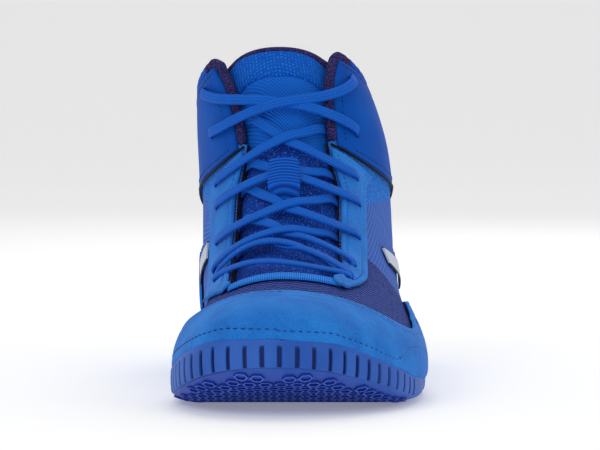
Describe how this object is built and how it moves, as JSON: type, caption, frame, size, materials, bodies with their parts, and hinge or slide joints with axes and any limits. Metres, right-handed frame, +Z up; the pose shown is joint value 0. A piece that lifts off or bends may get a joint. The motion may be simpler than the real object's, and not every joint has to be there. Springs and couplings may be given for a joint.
{
  "type": "wrestling shoe",
  "caption": "High wrestling shoe for the left foot: soft ankle-high upper with suede overlays, padded tongue and flat laces on a thin ribbed rubber sole.",
  "frame": {"origin": "on the ground, under the middle of the shoe's box", "axes": "-Y towards the toe, +Y towards the heel, -X the inner (medial) side, +X the outer (lateral) side, +Z up"},
  "size_m": [0.1075, 0.2869, 0.1477],
  "materials": {
    "rubber": "matte",
    "insole_cloth": "matte",
    "vamp_mesh": "matte",
    "tongue_knit": "matte",
    "suede": "nap",
    "cuff_skin": "satin",
    "binding": "matte",
    "piping": "satin",
    "trim": "satin",
    "lace": "satin",
    "webbing": "satin",
    "band": "satin"
  },
  "bodies": {
    "root": {"outsole": "rubber", "insole": "insole_cloth", "upper": "vamp_mesh", "tongue": "tongue_knit", "toe_cap": "suede", "heel_counter": "suede", "vamp_edge": "trim", "lace_keeper": "webbing", "collar_binding": "binding", "eyestay_medial": "suede", "cuff_medial": "cuff_skin", "front_binding_medial": "binding", "piping_medial": "piping", "side_band_medial": "band", "eyestay_lateral": "suede", "cuff_lateral": "cuff_skin", "front_binding_lateral": "binding", "piping_lateral": "piping", "side_band_lateral": "band", "lace_crossing_1": "lace", "lace_crossing_2": "lace", "lace_crossing_3": "lace", "lace_crossing_4": "lace", "lace_crossing_5": "lace", "lace_crossing_6": "lace", "lace_bar": "lace"}
  },
  "joints": []
}
